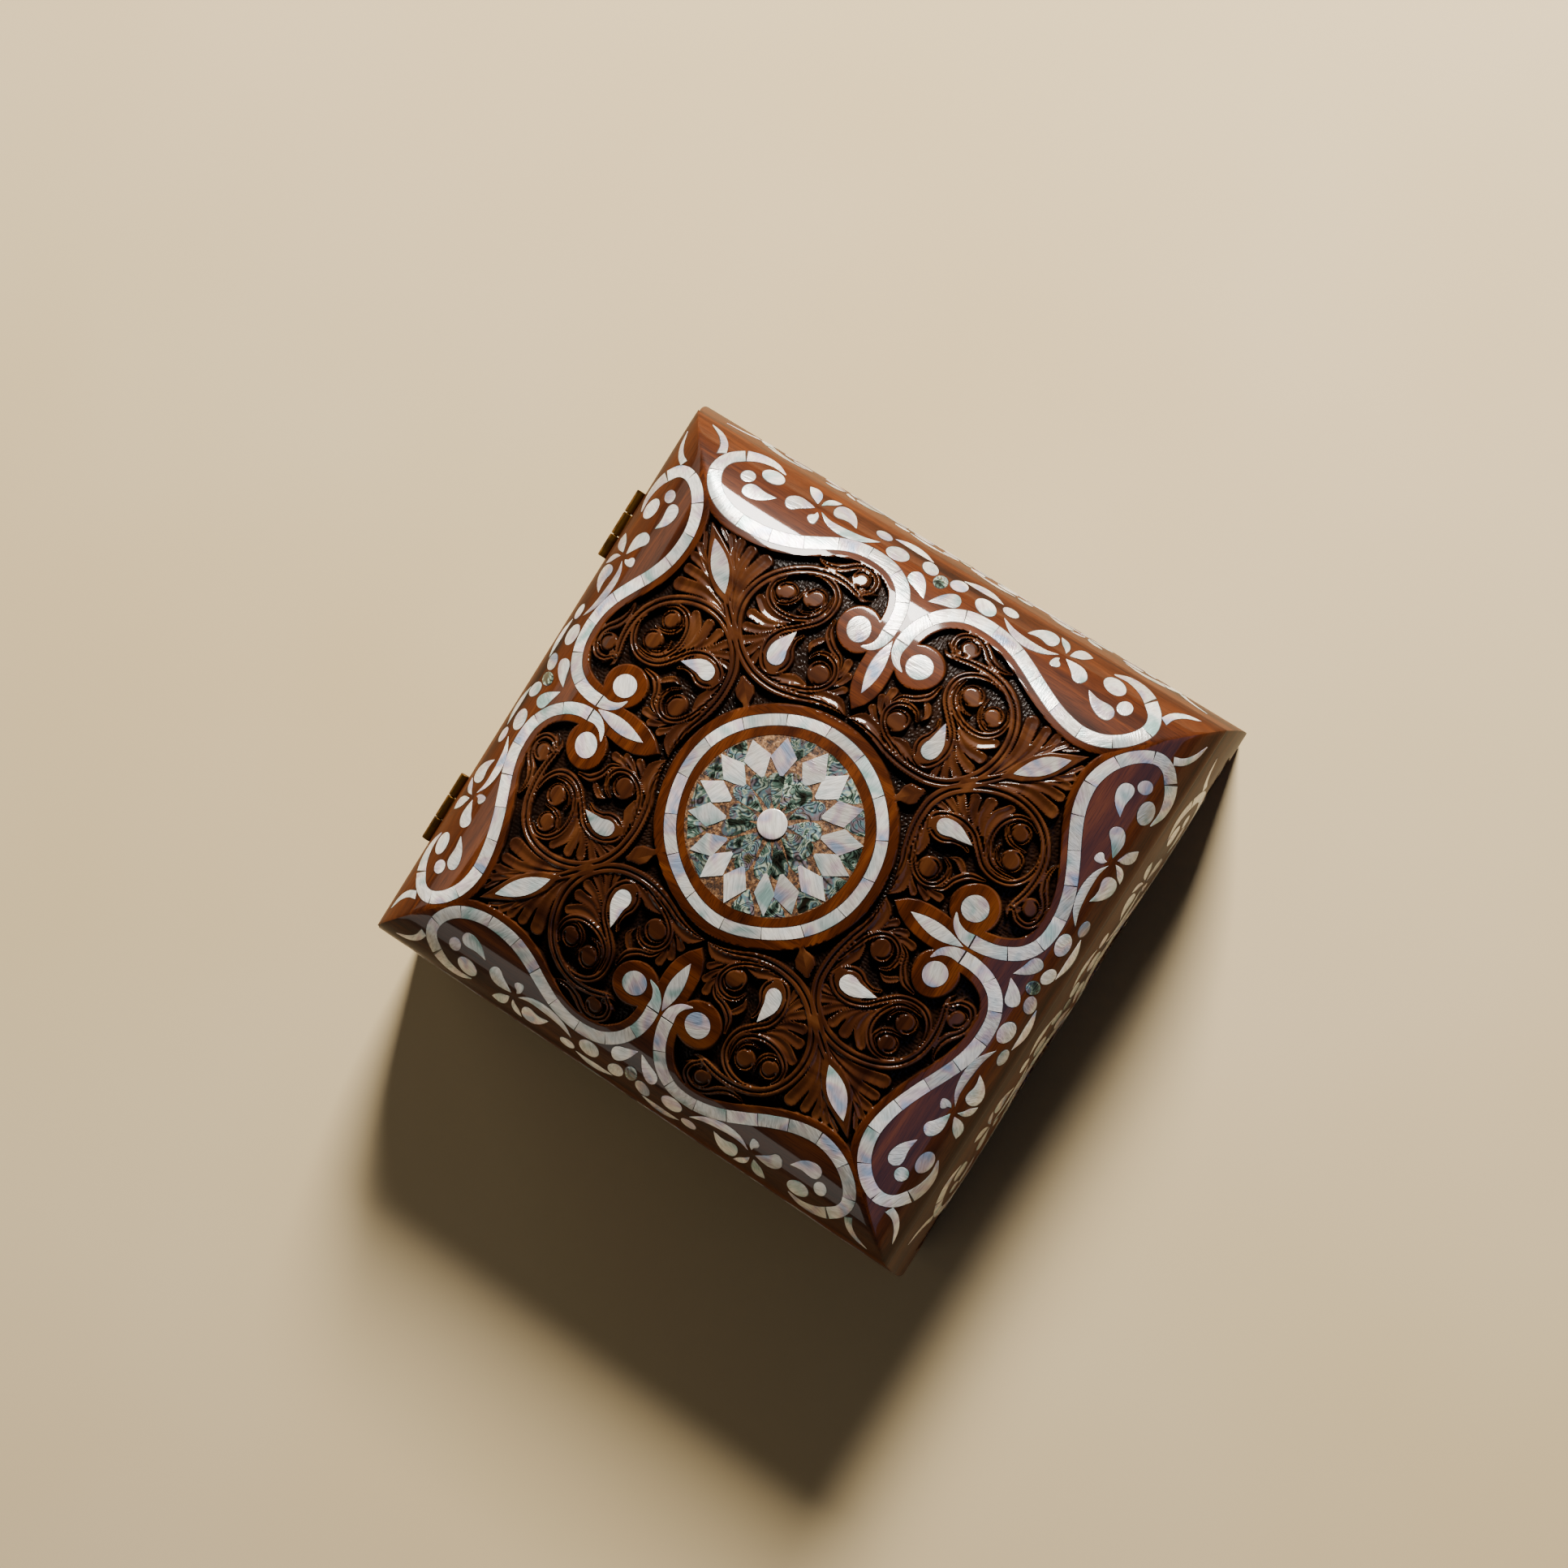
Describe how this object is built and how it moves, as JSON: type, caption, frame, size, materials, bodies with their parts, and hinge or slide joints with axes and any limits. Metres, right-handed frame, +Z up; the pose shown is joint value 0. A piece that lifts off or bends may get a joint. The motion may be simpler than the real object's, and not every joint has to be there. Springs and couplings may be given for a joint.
{
  "type": "inlaid jewellery box",
  "caption": "Square domed wooden box with carved scrollwork, mother-of-pearl inlay and a lid hinged at the back.",
  "frame": {"origin": "centre of the base, on the surface the box stands on", "axes": "+Z up; the front of the box faces -Y and the hinges are at the back, +Y; +X to the right"},
  "size_m": [0.212, 0.212, 0.1103],
  "materials": {
    "walnut": "gloss",
    "pearl": "polished",
    "abalone": "polished",
    "velvet": "pile",
    "felt": "matt",
    "hinge_brass": "satin"
  },
  "bodies": {
    "box": {"bottom_board": "walnut", "felt_feet": "felt", "floor_lining": "velvet", "hinge_leaf_box_left": "hinge_brass", "hinge_leaf_box_right": "hinge_brass", "hinge_pin_left": "hinge_brass", "hinge_pin_right": "hinge_brass", "hinge_screws_box": "hinge_brass", "wall_almonds": "pearl", "wall_back": "walnut", "wall_discs": "pearl", "wall_drops": "pearl", "wall_flower_eyes": "abalone", "wall_front": "walnut", "wall_leaves": "pearl", "wall_left": "walnut", "wall_lining_back": "velvet", "wall_lining_front": "velvet", "wall_lining_left": "velvet", "wall_lining_right": "velvet", "wall_right": "walnut", "wall_strip_back": "pearl", "wall_strip_front": "pearl", "wall_strip_left": "pearl", "wall_strip_right": "pearl", "wall_vine_back": "pearl", "wall_vine_front": "pearl", "wall_vine_left": "pearl", "wall_vine_right": "pearl"},
    "lid": {"abalone_ground": "abalone", "corner_almonds": "pearl", "cusp_leaves": "pearl", "hinge_leaf_lid_left": "hinge_brass", "hinge_leaf_lid_right": "hinge_brass", "hinge_screws_lid": "hinge_brass", "lid_flower_eyes": "abalone", "lid_lining": "velvet", "lid_panel": "walnut", "lid_rail_back": "walnut", "lid_rail_front": "walnut", "lid_rail_left": "walnut", "lid_rail_right": "walnut", "lid_strip_back": "pearl", "lid_strip_front": "pearl", "lid_strip_left": "pearl", "lid_strip_right": "pearl", "lid_vine_back": "pearl", "lid_vine_front": "pearl", "lid_vine_left": "pearl", "lid_vine_right": "pearl", "pearl_button": "pearl", "ring_tesserae": "pearl", "rosette_drops": "pearl", "scroll_discs": "pearl", "star_kites": "pearl"}
  },
  "joints": [
    {"name": "lid_hinge", "type": "hinge", "parent": "box", "child": "lid", "pos_m": [0, 0.1019, 0.072], "axis": [-1, 0, 0], "range_deg": [0, 100]}
  ]
}
